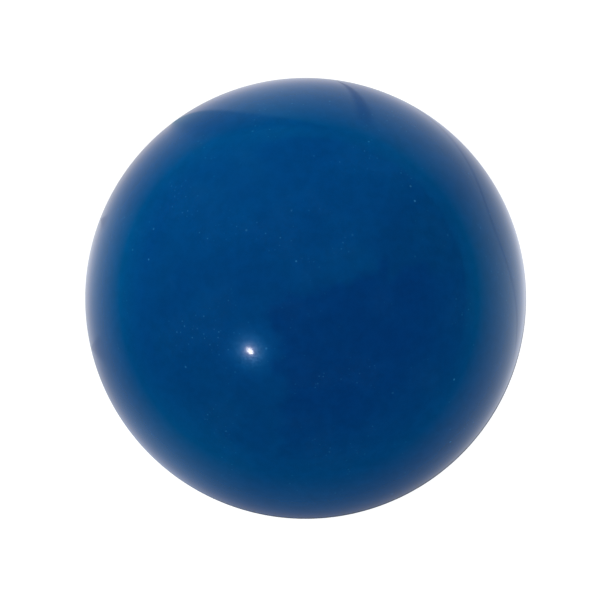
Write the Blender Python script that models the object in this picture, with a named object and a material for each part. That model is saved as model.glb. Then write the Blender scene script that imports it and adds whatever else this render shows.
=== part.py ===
"""Croquet ball: a pressed composition core inside a moulded plastic cover of two halves.

Metres, +Z up. The ball stands on z = 0 and its cover's seam is level, at half its height.
The lower half of the cover carries a tongue that enters a rebate in the upper half.
"""

import math

import bmesh
import bpy

# Driving dimensions
BALL_DIAMETER = 0.092075  # 3 5/8 in, the full size of the game
COVER_WALL = 0.005
TONGUE_HEIGHT = 0.003
TONGUE_SHARE = 0.5  # part of the wall's thickness that the tongue takes
SEAT_GAP = 0.0003  # left between faces that meet

# Worked out from the dimensions above
BALL_RADIUS = BALL_DIAMETER / 2
COVER_INNER_RADIUS = BALL_RADIUS - COVER_WALL
CORE_RADIUS = COVER_INNER_RADIUS - SEAT_GAP
TONGUE_RADIUS = COVER_INNER_RADIUS + TONGUE_SHARE * COVER_WALL

# Fineness of the turned surfaces
SEGMENTS = 72
OUTER_STEPS = 18
INNER_STEPS = 12
CORE_STEPS = 24
MERGE_DISTANCE = 1e-6
SHARP_ANGLE = math.radians(30)

COVER_BLUE = (0.001, 0.033, 0.138, 1.0)
COVER_ROUGHNESS = 0.06
CORE_BROWN = (0.34, 0.2, 0.1, 1.0)
CORE_ROUGHNESS = 0.85


def clear_scene():
    for thing in list(bpy.data.objects):
        bpy.data.objects.remove(thing)


def plain_material(name, colour, roughness):
    material = bpy.data.materials.new(name)
    material.use_nodes = True
    shader = material.node_tree.nodes["Principled BSDF"]
    shader.inputs["Base Color"].default_value = colour
    shader.inputs["Roughness"].default_value = roughness
    shader.inputs["Metallic"].default_value = 0.0
    return material


def arc(radius, start, end, steps):
    """(radius, height) points on a circle about the ball's centre, by angle from +Z."""
    angles = [start + (end - start) * step / steps for step in range(steps + 1)]
    return [(radius * math.sin(angle), radius * math.cos(angle)) for angle in angles]


def angle_at_height(radius, height):
    """Angle from +Z at which a circle about the ball's centre reaches a height."""
    return math.acos(height / radius)


def core_profile():
    return arc(CORE_RADIUS, 0, math.pi, CORE_STEPS)


def lower_cover_profile():
    """Up the inside from the lower pole, over the tongue, then down the outside."""
    tongue_top = angle_at_height(COVER_INNER_RADIUS, TONGUE_HEIGHT)
    inside = arc(COVER_INNER_RADIUS, math.pi, tongue_top, INNER_STEPS)
    tongue = [(TONGUE_RADIUS, TONGUE_HEIGHT), (TONGUE_RADIUS, 0)]
    outside = arc(BALL_RADIUS, math.pi / 2, math.pi, OUTER_STEPS)
    return inside + tongue + outside


def upper_cover_profile():
    """Down the outside from the upper pole, round the rebate, then up the inside."""
    rim_height = SEAT_GAP
    rebate_height = TONGUE_HEIGHT + SEAT_GAP
    rebate_radius = TONGUE_RADIUS + SEAT_GAP
    outside = arc(BALL_RADIUS, 0, angle_at_height(BALL_RADIUS, rim_height), OUTER_STEPS)
    rebate = [(rebate_radius, rim_height), (rebate_radius, rebate_height)]
    rebate_top = angle_at_height(COVER_INNER_RADIUS, rebate_height)
    inside = arc(COVER_INNER_RADIUS, rebate_top, 0, INNER_STEPS)
    return outside + rebate + inside


def turned_mesh(name, profile):
    """Mesh of a profile of (radius, height) points turned once about Z."""
    shape = bmesh.new()
    points = [shape.verts.new((radius, 0, height)) for radius, height in profile]
    lines = [shape.edges.new(pair) for pair in zip(points, points[1:])]
    bmesh.ops.spin(
        shape, geom=points + lines, cent=(0, 0, 0), axis=(0, 0, 1),
        angle=2 * math.pi, steps=SEGMENTS, use_merge=True,
    )
    bmesh.ops.remove_doubles(shape, verts=shape.verts, dist=MERGE_DISTANCE)
    bmesh.ops.recalc_face_normals(shape, faces=shape.faces)
    mesh = bpy.data.meshes.new(name)
    shape.to_mesh(mesh)
    shape.free()
    mesh.shade_smooth()
    mesh.set_sharp_from_angle(angle=SHARP_ANGLE)
    return mesh


def add_centre():
    """Empty at the ball's centre, which the pieces are turned about."""
    centre = bpy.data.objects.new("ball_centre", None)
    centre.location.z = BALL_RADIUS
    centre.empty_display_size = BALL_RADIUS
    bpy.context.scene.collection.objects.link(centre)
    return centre


def add_piece(name, profile, material, centre):
    piece = bpy.data.objects.new(name, turned_mesh(name, profile))
    piece.data.materials.append(material)
    piece.parent = centre
    bpy.context.scene.collection.objects.link(piece)


def build_ball():
    clear_scene()
    cover_plastic = plain_material("cover_plastic", COVER_BLUE, COVER_ROUGHNESS)
    core_composition = plain_material("core_composition", CORE_BROWN, CORE_ROUGHNESS)
    centre = add_centre()
    add_piece("core", core_profile(), core_composition, centre)
    add_piece("cover_lower", lower_cover_profile(), cover_plastic, centre)
    add_piece("cover_upper", upper_cover_profile(), cover_plastic, centre)


build_ball()
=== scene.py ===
"""Looks of the croquet ball: two polished half shells over a pressed composition core.

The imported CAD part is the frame. Every size comes from its boxes, and the ball's centre is
the origin of every piece, so that one pattern of wear runs across the seam.
"""

import math

import bmesh
import bpy
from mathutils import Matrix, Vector, noise


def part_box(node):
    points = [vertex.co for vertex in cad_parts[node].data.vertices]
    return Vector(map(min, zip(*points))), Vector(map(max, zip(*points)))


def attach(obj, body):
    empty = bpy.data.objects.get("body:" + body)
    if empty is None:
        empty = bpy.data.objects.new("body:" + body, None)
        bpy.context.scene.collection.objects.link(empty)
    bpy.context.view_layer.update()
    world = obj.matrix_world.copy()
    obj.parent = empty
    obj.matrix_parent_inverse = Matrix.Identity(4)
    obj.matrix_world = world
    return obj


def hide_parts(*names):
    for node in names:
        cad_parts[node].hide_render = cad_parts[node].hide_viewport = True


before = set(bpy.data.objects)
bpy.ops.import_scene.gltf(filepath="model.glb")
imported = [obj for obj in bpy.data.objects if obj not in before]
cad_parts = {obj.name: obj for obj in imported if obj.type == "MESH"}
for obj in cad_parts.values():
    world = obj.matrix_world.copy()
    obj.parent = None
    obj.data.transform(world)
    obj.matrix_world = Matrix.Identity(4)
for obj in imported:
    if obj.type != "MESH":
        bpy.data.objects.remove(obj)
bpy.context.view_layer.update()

# Sizes read from the CAD boxes
LOWER_LOW, LOWER_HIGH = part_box("cover_lower")
CORE_LOW, CORE_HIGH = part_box("core")
BALL_RADIUS = (LOWER_HIGH.x - LOWER_LOW.x) / 2
CENTRE = Vector((0, 0, LOWER_LOW.z + BALL_RADIUS))
TONGUE_HEIGHT = LOWER_HIGH.z - CENTRE.z
CORE_RADIUS = (CORE_HIGH.x - CORE_LOW.x) / 2

# The shells as they are once welded and polished
FIT = 0.00005  # clearance inside the closed joint
SEAM_EASE = 0.00004  # how far the polish rounds each rim of the seam
TONGUE_SHARE = 0.5  # part of the wall's thickness that the tongue takes
INNER_RADIUS = CORE_RADIUS + FIT
TONGUE_RADIUS = INNER_RADIUS + TONGUE_SHARE * (BALL_RADIUS - INNER_RADIUS)

# Fineness of the meshes, in cells along a quarter turn
SHELL_CELLS = 64
CORE_CELLS = 72
SHARP_ANGLE = math.radians(30)

# Parts of a noise's 0 to 1 that are carried on to a pattern's full range
WIDE_SPAN = (0.3, 0.7)
MIDDLE_SPAN = (0.35, 0.65)
SCUFF_SPAN = (0.48, 0.60)
BROKEN_SPAN = (0.55, 0.65)

# Pressed granules of the core
GRANULE = 0.0022
PIT_DEPTH = 0.00035
CORK_DARK = (0.2, 0.09, 0.035, 1.0)
CORK_LIGHT = (0.5, 0.3, 0.15, 1.0)
BINDER = (0.05, 0.03, 0.02, 1.0)
BINDER_WIDTH = 0.12  # of a granule
CORE_ROUGHNESS = (0.7, 0.92)
GRANULE_RELIEF = 0.0004
GRANULE_BUMP = 0.6

# Plastic of the cover
COVER_BLUE = (0.0002, 0.0332, 0.138, 1.0)
COVER_DEEP_BLUE = (0.0002, 0.0299, 0.131, 1.0)
DUST_BLUE = (0.02, 0.13, 0.30, 1.0)
# Nicks are dark specks: painted shade in small pits
NICK_SHADE_BLUE = (0.0001, 0.01, 0.05, 1.0)
COVER_IOR = 1.5
POLISHED, SCUFFED = 0.045, 0.12  # roughness
MOTTLE = 0.012
HAZE = 0.0025
HAZE_RANGE = 0.085
SCUFF_PATCH = 0.012
SCUFF_GRAIN = 0.0008
# Specks: (spacing, radius, share of the cells that hold one, strength)
LONE_DUST = (0.0040, 0.0003, 0.55, 0.75)
FINE_DUST = (0.0011, 0.0002, 0.8, 0.5)
# Nicks: specks of painted shade in small pits
NICKS = (0.009, 0.0003, 0.3, 0.8)
LINT_PATCH = (0.011, 0.0017, 0.15, 0.4)
LINT_CURL = 0.0022
LINT_WIDTH = 0.022
# Hairlines: (turn of their direction, length, spacing)
HAIRLINES = (
    ((0.4, 0.2, 0.9), 0.03, 0.0012),
    ((1.3, 0.7, 2.1), 0.02, 0.0016),
)
HAIRLINE_WIDTH = 0.006
# Orange peel, with a finer grain over it and the hairlines sunk in it
PEEL = 0.003
PEEL_DEPTH = 0.000006
PEEL_GRAIN = 0.12
HAIRLINE_DEPTH = 0.3

# Camera: straight above the ball, with +Y up in the picture
CAMERA_DISTANCE = 0.8
BALL_SHARE = 0.735  # of the frame's width that the ball fills
BALL_ASIDE, BALL_UP = 0.00117, 0.00034  # from the frame's middle, rightward and upward
SENSOR_WIDTH = 36.0

# Floor, walls and lights
WORLD_WHITE = (0.97, 0.98, 1.0)
WORLD_STRENGTH = 1.04
FLOOR_WIDTH = 40.0
FLOOR_GREY = (0.45, 0.45, 0.45, 1.0)
FLOOR_GLOW = 0.72
ROOM_RADIUS = 3.0
ROOM_CELLS = 12
ROOM_RIM = math.pi / 2 + 0.02  # angle from its top at which the room meets the paper
HIGHLIGHT_DIRECTION = (-0.4604, -0.4357, 0.7734)
LAMP_DISTANCE = 2.9
LAMP_SIZE = (0.19, 0.115)
LAMP_RADIANCE = 28
KEY_DIRECTION = (-0.5, 0.8, 0.2)
KEY_DISTANCE = 1.5
KEY_SIZE = 0.9
KEY_RADIANCE = 6.5

# Painted reflected light of the paper round the ball in red, green and blue: what reaches far
# away and what grows with 1 / distance in metres, each as (even, rightward, upward, both sides,
# front left)
PAPER_LIGHT = (
    ((-0.12, 0.125, -0.02, -0.15, 0.11), (0.034, -0.0035, 0.019, 0.036)),
    ((0.225, 0.035, 0.09, -0.06, 0.165), (0.011, 0.004, 0.012, 0.031)),
    ((0.27, -0.05, 0.135, 0.03, 0.30), (0.010, 0.013, 0.012, 0.027)),
)
PAPER_NEAREST = 14.5  # most that 1 / distance counts for
# Sheets that catch more or less light: (heading, half width, gain)
PAPER_SHEETS = (
    (math.radians(0), math.radians(32), 0.28),
    (math.radians(38), math.radians(16), -0.12),
    (math.radians(102), math.radians(26), 0.25),
    (math.radians(168), math.radians(22), 0.22),
    (math.radians(200), math.radians(16), -0.12),
    (math.radians(232), math.radians(26), 0.28),
)
# Gaps between sheets, darker in the painted reflection: the share of each colour that they lose,
# and (start, heading, opening, reach, bend)
PAPER_GAPS = (
    ((0.38, 0.38, 0.38), ((0.0075, 0.056), math.radians(63.6), math.radians(9), 0.25, 0.0)),
    ((0.54, 0.38, 0.34), ((-0.030, 0.040), math.radians(108.5), math.radians(30), 0.70, 1.6)),
    ((0.22, 0.22, 0.22), ((-0.056, -0.013), math.radians(186), math.radians(25), 0.06, 0.0)),
    ((0.30, 0.30, 0.30), ((-0.054, 0.021), math.radians(153), math.radians(20), 0.03, 0.0)),
)
GAP_EDGE = math.radians(2.5)
# Oval outline of the ball's painted shadow on the paper, seen only on its far side. Its size is
# the two half axes, and its edge is a share of them
SHADOW_MIDDLE = (-0.063, -0.035, 0)
SHADOW_HEADING = math.radians(23.6)
SHADOW_SIZE = (0.197, 0.052, 1)
SHADOW_EDGE = 0.035
SHADOW_EDGE_LOSS = 0.22
SHADOW_LOSS = 0.07
SHADOW_SIDE = (0.72, 0.86)  # cosine of the way from its heading: none, full
# Painted contact shadow towards the front right: where it starts and where it is full
CONTACT_REACH = (0.060, 0.053)
CONTACT_HEADING = math.radians(300)
CONTACT_SIDE = (0.2, 0.9)  # cosine of the way from its heading: none, full
CONTACT_LOSS = 0.9
# Shade close to the contact: where it starts and where it is full, in radii of the ball
UNDER_REACH = (1.35, 0.7)
UNDER_LOSS = 0.85

# Painted reflected light of the room in red, green and blue: walls, what they lose to the right,
# window, foot of the stand, and the peak and width of the flare, a painted halo round the lamp's
# highlight. The places below are the x, y and z of a direction, each pair from where a thing is
# absent to where it is full
ROOM_LIGHT = (
    (0.0, 0.0, 0.0, 0.0, 9.0, math.radians(1.7)),
    (0.24, 0.10, 0.08, 0.14, 6.2, math.radians(3.4)),
    (0.36, 0.36, 0.13, 0.10, 8.6, math.radians(4.4)),
)
ROOM_BLOTCH = 0.25
BLOTCH_RANGE = 0.15
RIGHT_LOSS_AT = (0.52, 0.70)
STAND_LEFT, STAND_LEFT_LEAN = (-0.35, -0.25), -0.12
STAND_BACK, STAND_BACK_LEAN = (0.11, 0.01), -0.2
STAND_RAGS = 0.3
STAND_RAG_DEPTH = 0.07
FOOT_AT = (0.7, -0.1)
WINDOW_BACK, WINDOW_LEAN = (0.87, 1.11), -0.86
WINDOW_SIDE = (-0.22, -0.32)
POLE_X, POLE_HALF_WIDTH = 0.632, (0.05, 0.02)
POLE_Y, POLE_HALF_HEIGHT = 0.21, (0.14, 0.08)
POLE_LOSS = 0.6
PALE_DIRECTION = (0.40, 0.25, 0.88)
PALE_RADIUS = math.radians(19)
PALE_GAIN = 0.35
# Grain and streaks of the flare, the painted halo round the lamp's highlight
FLARE_GRAIN = 0.02
FLARE_STREAKS = 0.6


def equal_angle(side):
    """Moves a point of a cube's face so that its grid lines stand at equal angles."""
    return math.tan(math.pi / 4 * side)


def sphere_grid(cells):
    """Unit sphere of near-square cells, with a level loop of edges at half its height."""
    shape = bmesh.new()
    bmesh.ops.create_cube(shape, size=2)
    bmesh.ops.subdivide_edges(shape, edges=shape.edges, cuts=cells - 1, use_grid_fill=True)
    for point in shape.verts:
        point.co = Vector([equal_angle(side) for side in point.co]).normalized()
    return shape


def dome(radius, rim_angle, cells):
    """Dome about +Z, from its pole out to an angle from it."""
    shape = sphere_grid(cells)
    half_cell = math.pi / 4 / cells
    below = [point for point in shape.verts if point.co.z < -half_cell]
    bmesh.ops.delete(shape, geom=below, context="VERTS")
    for point in shape.verts:
        turn = math.atan2(point.co.y, point.co.x)
        fall = math.acos(max(-1.0, min(1.0, point.co.z))) * rim_angle / (math.pi / 2)
        level = Vector((math.cos(turn), math.sin(turn), 0))
        point.co = radius * (level * math.sin(fall) + Vector((0, 0, math.cos(fall))))
    return shape


def rim_edges(shape):
    """Edges round the opening of a shape."""
    return [edge for edge in shape.edges if edge.is_boundary]


def step_rim(shape, rim, radius, height):
    """Carries a rim on to a level circle of this radius and height."""
    made = bmesh.ops.extrude_edge_only(shape, edges=rim)["geom"]
    for point in made:
        if isinstance(point, bmesh.types.BMVert):
            flat = Vector((point.co.x, point.co.y, 0)).normalized() * radius
            point.co = flat + Vector((0, 0, height))
    return [edge for edge in made if isinstance(edge, bmesh.types.BMEdge) and edge.is_boundary]


def half_shell(name, joint, outer_rim_angle, inner_rim_angle, upward):
    """Closed half shell about +Z, turned over if it isn't the upward one. Its joint is a
    list of (radius, height) circles from the outer rim to the inner rim."""
    shape = dome(BALL_RADIUS, outer_rim_angle, SHELL_CELLS)
    rim = rim_edges(shape)
    for radius, height in joint:
        rim = step_rim(shape, rim, radius, height)
    inside = dome(INNER_RADIUS, inner_rim_angle, SHELL_CELLS)
    inside_mesh = bpy.data.meshes.new(name + "_inside")
    inside.to_mesh(inside_mesh)
    inside.free()
    shape.from_mesh(inside_mesh)
    bpy.data.meshes.remove(inside_mesh)
    bmesh.ops.bridge_loops(shape, edges=rim_edges(shape))
    if not upward:
        for point in shape.verts:
            point.co.y, point.co.z = -point.co.y, -point.co.z
    return shape


def finished_mesh(name, shape):
    bmesh.ops.recalc_face_normals(shape, faces=shape.faces)
    mesh = bpy.data.meshes.new(name)
    shape.to_mesh(mesh)
    shape.free()
    mesh.shade_smooth()
    mesh.set_sharp_from_angle(angle=SHARP_ANGLE)
    return mesh


def add_piece(name, shape, material, node):
    piece = bpy.data.objects.new(name, finished_mesh(name, shape))
    piece.location = CENTRE
    piece.data.materials.append(material)
    bpy.context.scene.collection.objects.link(piece)
    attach(piece, "root")
    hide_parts(node)
    return piece


def seam_rim_angle():
    """Angle from a half's pole at which the polish starts to round its rim."""
    return math.acos((FIT / 2 + SEAM_EASE) / BALL_RADIUS)


def add_upper_shell(material):
    roof = TONGUE_HEIGHT + FIT
    joint = [
        (BALL_RADIUS - SEAM_EASE, FIT / 2),
        (TONGUE_RADIUS + FIT, FIT / 2),
        (TONGUE_RADIUS + FIT, roof),
    ]
    inner_rim = math.acos(roof / INNER_RADIUS)
    shape = half_shell("upper_shell", joint, seam_rim_angle(), inner_rim, upward=True)
    return add_piece("upper_shell", shape, material, "cover_upper")


def add_lower_shell(material):
    joint = [
        (BALL_RADIUS - SEAM_EASE, FIT / 2),
        (TONGUE_RADIUS, FIT / 2),
        (TONGUE_RADIUS, -TONGUE_HEIGHT),
    ]
    inner_rim = math.acos(-TONGUE_HEIGHT / INNER_RADIUS)
    shape = half_shell("lower_shell", joint, seam_rim_angle(), inner_rim, upward=False)
    return add_piece("lower_shell", shape, material, "cover_lower")


def add_core(material):
    """Core with the pits left between its pressed granules."""
    shape = sphere_grid(CORE_CELLS)
    for point in shape.verts:
        place = point.co * CORE_RADIUS
        pit = max(0.0, noise.noise(place / GRANULE))
        point.co = point.co * (CORE_RADIUS - PIT_DEPTH * pit)
    return add_piece("composition_core", shape, material, "core")


# Small helpers for node materials


class Nodes:
    """Short calls for building one node tree."""

    def __init__(self, tree):
        self.tree = tree

    def add(self, kind, inputs=None, **settings):
        node = self.tree.nodes.new(kind)
        for key, value in settings.items():
            setattr(node, key, value)
        for key, value in (inputs or {}).items():
            self.put(node, key, value)
        return node

    def put(self, node, key, value):
        if isinstance(value, bpy.types.NodeSocket):
            self.tree.links.new(value, node.inputs[key])
        else:
            node.inputs[key].default_value = value

    def math(self, operation, *values):
        inputs = dict(enumerate(values))
        return self.add("ShaderNodeMath", inputs, operation=operation).outputs[0]

    def vector(self, operation, *values):
        """Vector or, for a length or a dot product, number."""
        inputs = dict(zip((0, 3) if operation == "SCALE" else (0, 1), values))
        node = self.add("ShaderNodeVectorMath", inputs, operation=operation)
        number = operation in ("LENGTH", "DOT_PRODUCT")
        return node.outputs["Value" if number else "Vector"]

    def parts(self, vector):
        """The x, y and z of a vector."""
        return tuple(self.add("ShaderNodeSeparateXYZ", {0: vector}).outputs)

    def angle_from(self, towards, direction):
        """Angle between a unit vector and a fixed direction."""
        near = self.vector("DOT_PRODUCT", towards, Vector(direction).normalized())
        return self.math("ARCCOSINE", self.math("MINIMUM", near, 1.0))

    def ramp(self, value, low, high, to_low=0.0, to_high=1.0):
        """Value carried from one range to another with soft ends, held at both."""
        inputs = {
            "Value": value, "From Min": low, "From Max": high,
            "To Min": to_low, "To Max": to_high,
        }
        node = self.add("ShaderNodeMapRange", inputs, interpolation_type="SMOOTHSTEP")
        return node.outputs["Result"]

    def mix(self, share, first, second):
        """Colour between two colours."""
        node = self.add("ShaderNodeMix", data_type="RGBA")
        self.put(node, 0, share)
        self.put(node, 6, first)
        self.put(node, 7, second)
        return node.outputs[2]

    def noise(self, place, size, detail=2.0, roughness=0.5):
        """Noise whose features are about this size."""
        inputs = {"Vector": place, "Scale": 1 / size, "Detail": detail, "Roughness": roughness}
        return self.add("ShaderNodeTexNoise", inputs).outputs["Fac"]


def new_material(name):
    material = bpy.data.materials.new(name)
    material.use_nodes = True
    nodes = Nodes(material.node_tree)
    shader = material.node_tree.nodes["Principled BSDF"]
    place = nodes.add("ShaderNodeTexCoord").outputs["Object"]
    return material, nodes, shader, place


def specks(nodes, place, spacing, radius, share, strength):
    """Mask of round specks of differing strength: one in this share of a random grid's cells."""
    cells = nodes.add("ShaderNodeTexVoronoi", {"Vector": place, "Scale": 1 / spacing})
    near = nodes.ramp(cells.outputs["Distance"], radius / spacing, radius / spacing / 2)
    cell = nodes.add("ShaderNodeSeparateColor", {"Color": cells.outputs["Color"]})
    chosen = nodes.math("LESS_THAN", cell.outputs[0], share)
    level = nodes.ramp(cell.outputs[1], 0.0, 1.0, strength / 4, strength)
    return nodes.math("MULTIPLY", nodes.math("MULTIPLY", near, chosen), level)


def scratches(nodes, place, turn, length, spacing):
    """Mask of fine broken lines that run round the ball in one direction."""
    turned = nodes.add("ShaderNodeMapping", {"Vector": place, "Rotation": turn}).outputs[0]
    scale = (1 / length, 1 / spacing, 1 / length)
    stretched = nodes.add("ShaderNodeMapping", {"Vector": turned, "Scale": scale}).outputs[0]
    lines = nodes.noise(stretched, 1.0, 1.0)
    offset = nodes.math("ABSOLUTE", nodes.math("SUBTRACT", lines, 0.5))
    thin = nodes.ramp(offset, HAIRLINE_WIDTH, 0.0)
    broken = nodes.ramp(nodes.noise(turned, length / 2), *BROKEN_SPAN)
    return nodes.math("MULTIPLY", thin, broken)


def cover_colour(nodes, place, scuff_area):
    """Deep blue, faintly mottled, under lone specks, fine dust on the scuffs, lint and nicks,
    whose dark is painted shade in small pits.
    """
    mottle = nodes.ramp(nodes.noise(place, MOTTLE, 4.0, 0.6), *MIDDLE_SPAN)
    colour = nodes.mix(mottle, COVER_DEEP_BLUE, COVER_BLUE)
    haze = nodes.noise(place, HAZE, 4.0, 0.75)
    haze = nodes.ramp(haze, *WIDE_SPAN, 1 - HAZE_RANGE, 1 + HAZE_RANGE)
    colour = nodes.vector("SCALE", colour, haze)
    lone_dust = specks(nodes, place, *LONE_DUST)
    fine_dust = nodes.math("MULTIPLY", specks(nodes, place, *FINE_DUST), scuff_area)
    curl = nodes.math("SUBTRACT", nodes.noise(place, LINT_CURL, 0.0), 0.5)
    thread = nodes.ramp(nodes.math("ABSOLUTE", curl), LINT_WIDTH, 0.0)
    lint = nodes.math("MULTIPLY", thread, specks(nodes, place, *LINT_PATCH))
    dust = nodes.math("MAXIMUM", lone_dust, nodes.math("MAXIMUM", fine_dust, lint))
    colour = nodes.mix(dust, colour, DUST_BLUE)
    # Nicks: dark specks of painted shade in small pits
    return nodes.mix(specks(nodes, place, *NICKS), colour, NICK_SHADE_BLUE)


def cover_material():
    """Polished plastic with dust, lint, scuffs, hairlines and a slight orange peel."""
    material, nodes, shader, place = new_material("cover_plastic")
    scuff_area = nodes.ramp(nodes.noise(place, SCUFF_PATCH, 3.0), *SCUFF_SPAN)
    nodes.put(shader, "Base Color", cover_colour(nodes, place, scuff_area))

    scuff = nodes.math("MULTIPLY", scuff_area, nodes.noise(place, SCUFF_GRAIN, 3.0, 0.7))
    hairline = nodes.math("MAXIMUM", *(scratches(nodes, place, *line) for line in HAIRLINES))
    wear = nodes.math("MAXIMUM", scuff, hairline)
    nodes.put(shader, "Roughness", nodes.ramp(wear, 0.0, 1.0, POLISHED, SCUFFED))

    height = nodes.noise(place, PEEL, 1.0)
    height = nodes.math("MULTIPLY_ADD", nodes.noise(place, PEEL / 5, 2.0), PEEL_GRAIN, height)
    height = nodes.math("MULTIPLY_ADD", hairline, -HAIRLINE_DEPTH, height)
    bump = nodes.add("ShaderNodeBump", {"Height": height, "Distance": PEEL_DEPTH})
    nodes.put(shader, "Normal", bump.outputs[0])
    nodes.put(shader, "IOR", COVER_IOR)
    return material


def core_material():
    """Cork granules of several browns bound with dark nylon."""
    material, nodes, shader, place = new_material("pressed_composition")
    cells = {"Vector": place, "Scale": 1 / GRANULE}
    grains = nodes.add("ShaderNodeTexVoronoi", cells)
    tone = nodes.add("ShaderNodeSeparateColor", {"Color": grains.outputs["Color"]}).outputs[0]
    edge = nodes.add("ShaderNodeTexVoronoi", cells, feature="DISTANCE_TO_EDGE")
    edge = edge.outputs["Distance"]
    cork = nodes.mix(tone, CORK_DARK, CORK_LIGHT)
    colour = nodes.mix(nodes.ramp(edge, 0.0, BINDER_WIDTH), BINDER, cork)
    nodes.put(shader, "Base Color", colour)
    nodes.put(shader, "Roughness", nodes.ramp(tone, 0.0, 1.0, *CORE_ROUGHNESS))
    relief = {"Height": edge, "Distance": GRANULE_RELIEF, "Strength": GRANULE_BUMP}
    nodes.put(shader, "Normal", nodes.add("ShaderNodeBump", relief).outputs[0])
    return material


# Studio


def stage_mesh(name, shape, material):
    """Object of the studio: not part of the ball."""
    mesh = bpy.data.meshes.new(name)
    shape.to_mesh(mesh)
    shape.free()
    mesh.materials.append(material)
    thing = bpy.data.objects.new(name, mesh)
    bpy.context.scene.collection.objects.link(thing)
    return thing


def reflection_only(thing):
    """Leaves a thing in the ball's reflections and nowhere else."""
    thing.visible_camera = False
    thing.visible_diffuse = False
    thing.visible_shadow = False


def glow_material(name):
    """Material that only gives off light, with its nodes and its shader."""
    material = bpy.data.materials.new(name)
    material.use_nodes = True
    material.cycles.emission_sampling = "NONE"
    tree = material.node_tree
    tree.nodes.clear()
    nodes = Nodes(tree)
    glow = nodes.add("ShaderNodeEmission", {"Strength": 1.0})
    out = nodes.add("ShaderNodeOutputMaterial")
    tree.links.new(glow.outputs[0], out.inputs["Surface"])
    return material, nodes, glow


def add_world():
    world = bpy.data.worlds.new("studio_walls")
    world.use_nodes = True
    background = world.node_tree.nodes["Background"]
    background.inputs["Color"].default_value = (*WORLD_WHITE, 1.0)
    background.inputs["Strength"].default_value = WORLD_STRENGTH
    world.cycles_visibility.glossy = False
    world.cycles.sampling_method = "NONE"
    bpy.context.scene.world = world


def add_floor():
    material = bpy.data.materials.new("floor_white")
    material.use_nodes = True
    nodes = Nodes(material.node_tree)
    shader = material.node_tree.nodes["Principled BSDF"]
    nodes.put(shader, "Base Color", FLOOR_GREY)
    nodes.put(shader, "Roughness", 1.0)
    nodes.put(shader, "Emission Color", (*WORLD_WHITE, 1.0))
    nodes.put(shader, "Emission Strength", FLOOR_GLOW)
    shape = bmesh.new()
    bmesh.ops.create_grid(shape, size=FLOOR_WIDTH / 2)
    floor = stage_mesh("floor", shape, material)
    floor.location.z = LOWER_LOW.z
    floor.visible_glossy = False


def spread(nodes, x, y, even, rightward, upward, both_sides, front_left=0.0):
    """Number that depends on the way from the ball: even + rightward x + upward y
    + both_sides x squared + front_left towards the front left."""
    level = nodes.math("MULTIPLY_ADD", x, rightward, even)
    level = nodes.math("MULTIPLY_ADD", y, upward, level)
    level = nodes.math("MULTIPLY_ADD", nodes.math("MULTIPLY", x, x), both_sides, level)
    corner = nodes.math("MULTIPLY", nodes.math("ADD", x, y), -math.sqrt(0.5))
    corner = nodes.math("POWER", nodes.math("MAXIMUM", corner, 0.0), 2.0)
    return nodes.math("MULTIPLY_ADD", corner, front_left, level)


def level_direction(heading):
    """Level unit vector at an angle from +X."""
    return (math.cos(heading), math.sin(heading), 0)


def gap_mask(nodes, place, start, heading, opening, reach, bend):
    """Mask of the dark gap between two sheets. One side is sharp and runs along the heading
    from the start, bending clockwise; the other is soft and stands open anticlockwise."""
    gone = nodes.vector("SUBTRACT", place, (*start, 0))
    along = nodes.vector("DOT_PRODUCT", gone, level_direction(heading))
    aside = nodes.vector("DOT_PRODUCT", gone, level_direction(heading + math.pi / 2))
    bent = nodes.math("MULTIPLY_ADD", nodes.math("MULTIPLY", along, along), bend, aside)
    turn = nodes.math("ARCTAN2", bent, along)
    sharp = nodes.ramp(turn, -GAP_EDGE, GAP_EDGE)
    fading = nodes.ramp(turn, opening, opening / 2)
    ended = nodes.ramp(nodes.vector("LENGTH", gone), reach, reach / 3)
    return nodes.math("MULTIPLY", sharp, nodes.math("MULTIPLY", fading, ended))


def darkened(nodes, light, mask, loss):
    """Light less this share of it where the mask is full. A negative loss adds light."""
    return nodes.math("MULTIPLY", light, nodes.math("MULTIPLY_ADD", mask, -loss, 1.0))


def shadow_masks(nodes, flat, way):
    """Masks of the edge and of the inside of the ball's shadow, on its far side."""
    oval = nodes.add("ShaderNodeMapping", {
        "Vector": flat, "Location": SHADOW_MIDDLE, "Rotation": (0, 0, SHADOW_HEADING),
        "Scale": SHADOW_SIZE,
    }, vector_type="TEXTURE").outputs[0]
    out = nodes.vector("LENGTH", oval)
    facing = nodes.vector("DOT_PRODUCT", way, level_direction(SHADOW_HEADING))
    away = nodes.ramp(facing, *SHADOW_SIDE)
    edge = nodes.math("ABSOLUTE", nodes.math("SUBTRACT", out, 1.0))
    edge = nodes.math("MULTIPLY", nodes.ramp(edge, SHADOW_EDGE, 0.0), away)
    inside = nodes.math("MULTIPLY", nodes.math("LESS_THAN", out, 1.0), away)
    return edge, inside


def paper_evenness(nodes, flat, way, distance):
    """Share of the painted reflected light left by the painted shadow, the painted contact shade
    and the sheets' own slopes.
    """
    edge, inside = shadow_masks(nodes, flat, way)
    light = darkened(nodes, 1.0, edge, SHADOW_EDGE_LOSS)
    light = darkened(nodes, light, inside, SHADOW_LOSS)
    facing = nodes.vector("DOT_PRODUCT", way, level_direction(CONTACT_HEADING))
    side = nodes.ramp(facing, *CONTACT_SIDE)
    contact = nodes.math("MULTIPLY", side, nodes.ramp(distance, *CONTACT_REACH))
    light = darkened(nodes, light, contact, CONTACT_LOSS)
    starts, full = (reach * BALL_RADIUS for reach in UNDER_REACH)
    light = darkened(nodes, light, nodes.ramp(distance, starts, full), UNDER_LOSS)
    for heading, half_width, gain in PAPER_SHEETS:
        off = nodes.angle_from(way, level_direction(heading))
        light = darkened(nodes, light, nodes.ramp(off, half_width, 0.0), -gain)
    return light


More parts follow.
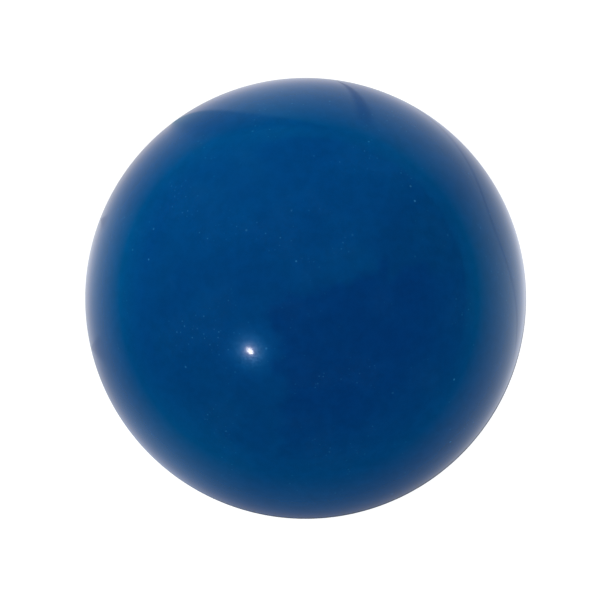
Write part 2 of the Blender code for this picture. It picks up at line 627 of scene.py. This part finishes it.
def paper_material():
    """Painted reflection of white sheets, glowing and seen only in the ball's reflections:
    bright round the ball, dimmer and bluer away from it, with the gaps between the sheets, the
    painted edge of the ball's own shadow and painted contact shade."""
    material, nodes, glow = glow_material("painted_paper_reflection")
    place = nodes.add("ShaderNodeTexCoord").outputs["Object"]
    flat = nodes.vector("MULTIPLY", place, (1, 1, 0))
    way = nodes.vector("NORMALIZE", flat)
    distance = nodes.vector("LENGTH", flat)
    x, y, _ = nodes.parts(way)
    near = nodes.math("MINIMUM", nodes.math("DIVIDE", 1.0, distance), PAPER_NEAREST)
    gaps = [(losses, gap_mask(nodes, flat, *gap)) for losses, gap in PAPER_GAPS]
    channels = []
    for channel, (far_light, near_light) in enumerate(PAPER_LIGHT):
        far = spread(nodes, x, y, *far_light)
        rise = spread(nodes, x, y, *near_light)
        level = nodes.math("MAXIMUM", nodes.math("MULTIPLY_ADD", near, rise, far), 0.0)
        for losses, mask in gaps:
            level = darkened(nodes, level, mask, losses[channel])
        channels.append(level)
    colour = nodes.add("ShaderNodeCombineColor", dict(enumerate(channels)))
    nodes.put(glow, "Color", colour.outputs[0])
    nodes.put(glow, "Strength", paper_evenness(nodes, flat, way, distance))
    return material


def add_paper():
    shape = bmesh.new()
    bmesh.ops.create_grid(shape, size=ROOM_RADIUS)
    # The paper is a painted reflection: it glows and is seen only in the ball's reflections
    paper = stage_mesh("paper", shape, paper_material())
    paper.location.z = LOWER_LOW.z
    reflection_only(paper)


def falling(nodes, angle, peak, width):
    """Glow that falls by a factor of e for each width of angle."""
    power = nodes.math("DIVIDE", angle, -width)
    return nodes.math("MULTIPLY", nodes.math("EXPONENT", power), peak)


def stand_mask(nodes, towards, x, y):
    """Mask of the dark stand at the front right, with ragged edges."""
    rags = nodes.noise(towards, STAND_RAGS, 3.0, 0.6)
    ragged = nodes.ramp(rags, *WIDE_SPAN, -STAND_RAG_DEPTH, STAND_RAG_DEPTH)
    left = nodes.math("MULTIPLY_ADD", nodes.math("ABSOLUTE", y), STAND_LEFT_LEAN, x)
    left = nodes.ramp(nodes.math("ADD", left, ragged), *STAND_LEFT)
    back = nodes.math("MULTIPLY_ADD", x, STAND_BACK_LEAN, y)
    back = nodes.ramp(nodes.math("ADD", back, ragged), *STAND_BACK)
    return nodes.math("MULTIPLY", left, back)


def band(nodes, value, middle, half_width):
    """Mask of the values near a middle, with soft sides."""
    off = nodes.math("ABSOLUTE", nodes.math("SUBTRACT", value, middle))
    return nodes.ramp(off, *half_width)


def room_material():
    """Painted reflection of the dim blue studio above the ball, glowing and seen only in the
    ball's
    reflections: a paler window at the back left, a paler patch and a pole at the right, a dark
    stand at the front right, and the flare, a painted halo round the lamp's highlight."""
    material, nodes, glow = glow_material("painted_room_reflection")
    place = nodes.add("ShaderNodeTexCoord").outputs["Object"]
    towards = nodes.vector("NORMALIZE", place)
    x, y, z = nodes.parts(towards)

    stand = stand_mask(nodes, towards, x, y)
    foot = nodes.math("MULTIPLY", stand, nodes.ramp(z, *FOOT_AT))
    blotches = nodes.noise(towards, ROOM_BLOTCH, 3.0)
    blotches = nodes.ramp(blotches, *WIDE_SPAN, 1 - BLOTCH_RANGE, 1 + BLOTCH_RANGE)
    walls = nodes.math("MULTIPLY", nodes.math("SUBTRACT", 1.0, stand), blotches)
    right = nodes.math("MULTIPLY", walls, nodes.ramp(x, *RIGHT_LOSS_AT))
    pale = nodes.angle_from(towards, PALE_DIRECTION)
    pale = nodes.ramp(pale, PALE_RADIUS, PALE_RADIUS / 3)
    walls = darkened(nodes, walls, pale, -PALE_GAIN)
    pole = nodes.math("MULTIPLY",
        band(nodes, x, POLE_X, POLE_HALF_WIDTH), band(nodes, y, POLE_Y, POLE_HALF_HEIGHT))
    walls = darkened(nodes, walls, pole, POLE_LOSS)
    back = nodes.ramp(nodes.math("MULTIPLY_ADD", x, WINDOW_LEAN, y), *WINDOW_BACK)
    window = nodes.math("MULTIPLY", back, nodes.ramp(x, *WINDOW_SIDE))

    # Flare: a painted halo round the lamp's highlight
    flare_angle = nodes.angle_from(towards, HIGHLIGHT_DIRECTION)
    streaks = nodes.noise(towards, FLARE_GRAIN, 3.0, 0.7)
    streaks = nodes.ramp(streaks, *MIDDLE_SPAN, 1 - FLARE_STREAKS, 1 + FLARE_STREAKS)
    channels = []
    for (wall, loss, pane, low, peak, width) in ROOM_LIGHT:
        flare = nodes.math("MULTIPLY", falling(nodes, flare_angle, peak, width), streaks)
        level = nodes.math("MULTIPLY_ADD", walls, wall, flare)
        level = nodes.math("MULTIPLY_ADD", right, -loss, level)
        level = nodes.math("MULTIPLY_ADD", window, pane, level)
        level = nodes.math("MULTIPLY_ADD", foot, low, level)
        channels.append(nodes.math("MAXIMUM", level, 0.0))
    colour = nodes.add("ShaderNodeCombineColor", dict(enumerate(channels)))
    nodes.put(glow, "Color", colour.outputs[0])
    return material


def add_room():
    shape = dome(ROOM_RADIUS, ROOM_RIM, ROOM_CELLS)
    # The room is a painted reflection: it glows and is seen only in the ball's reflections
    room = stage_mesh("room", shape, room_material())
    room.location = CENTRE
    reflection_only(room)


def aim(thing, direction, distance):
    """Stands a thing out from the ball in a direction, facing its centre."""
    outward = Vector(direction).normalized()
    thing.location = CENTRE + outward * distance
    thing.rotation_euler = outward.to_track_quat("Z", "Y").to_euler()


def add_light(name, direction, distance, size, radiance):
    light = bpy.data.lights.new(name, "AREA")
    light.shape = "ELLIPSE"
    light.size, light.size_y = size
    area = math.pi / 4 * size[0] * size[1]
    light.energy = radiance * math.pi * area
    lamp = bpy.data.objects.new(name, light)
    aim(lamp, direction, distance)
    bpy.context.scene.collection.objects.link(lamp)
    return lamp


def add_lights():
    key = add_light("key", KEY_DIRECTION, KEY_DISTANCE, (KEY_SIZE, KEY_SIZE), KEY_RADIANCE)
    key.visible_glossy = False
    lamp = add_light("lamp", HIGHLIGHT_DIRECTION, LAMP_DISTANCE, LAMP_SIZE, LAMP_RADIANCE)
    lamp.visible_diffuse = False


def add_camera():
    camera_data = bpy.data.cameras.new("camera")
    camera_data.sensor_width = SENSOR_WIDTH
    slope = BALL_RADIUS / math.sqrt(CAMERA_DISTANCE**2 - BALL_RADIUS**2)
    camera_data.lens = SENSOR_WIDTH * (BALL_SHARE / 2) / slope
    camera = bpy.data.objects.new("camera", camera_data)
    camera.location = CENTRE + Vector((-BALL_ASIDE, -BALL_UP, CAMERA_DISTANCE))
    bpy.context.scene.collection.objects.link(camera)
    bpy.context.scene.camera = camera


cover = cover_material()
add_upper_shell(cover)
add_lower_shell(cover)
add_core(core_material())
add_world()
add_floor()
add_paper()
add_room()
add_lights()
add_camera()
bpy.context.scene.view_settings.view_transform = "Standard"
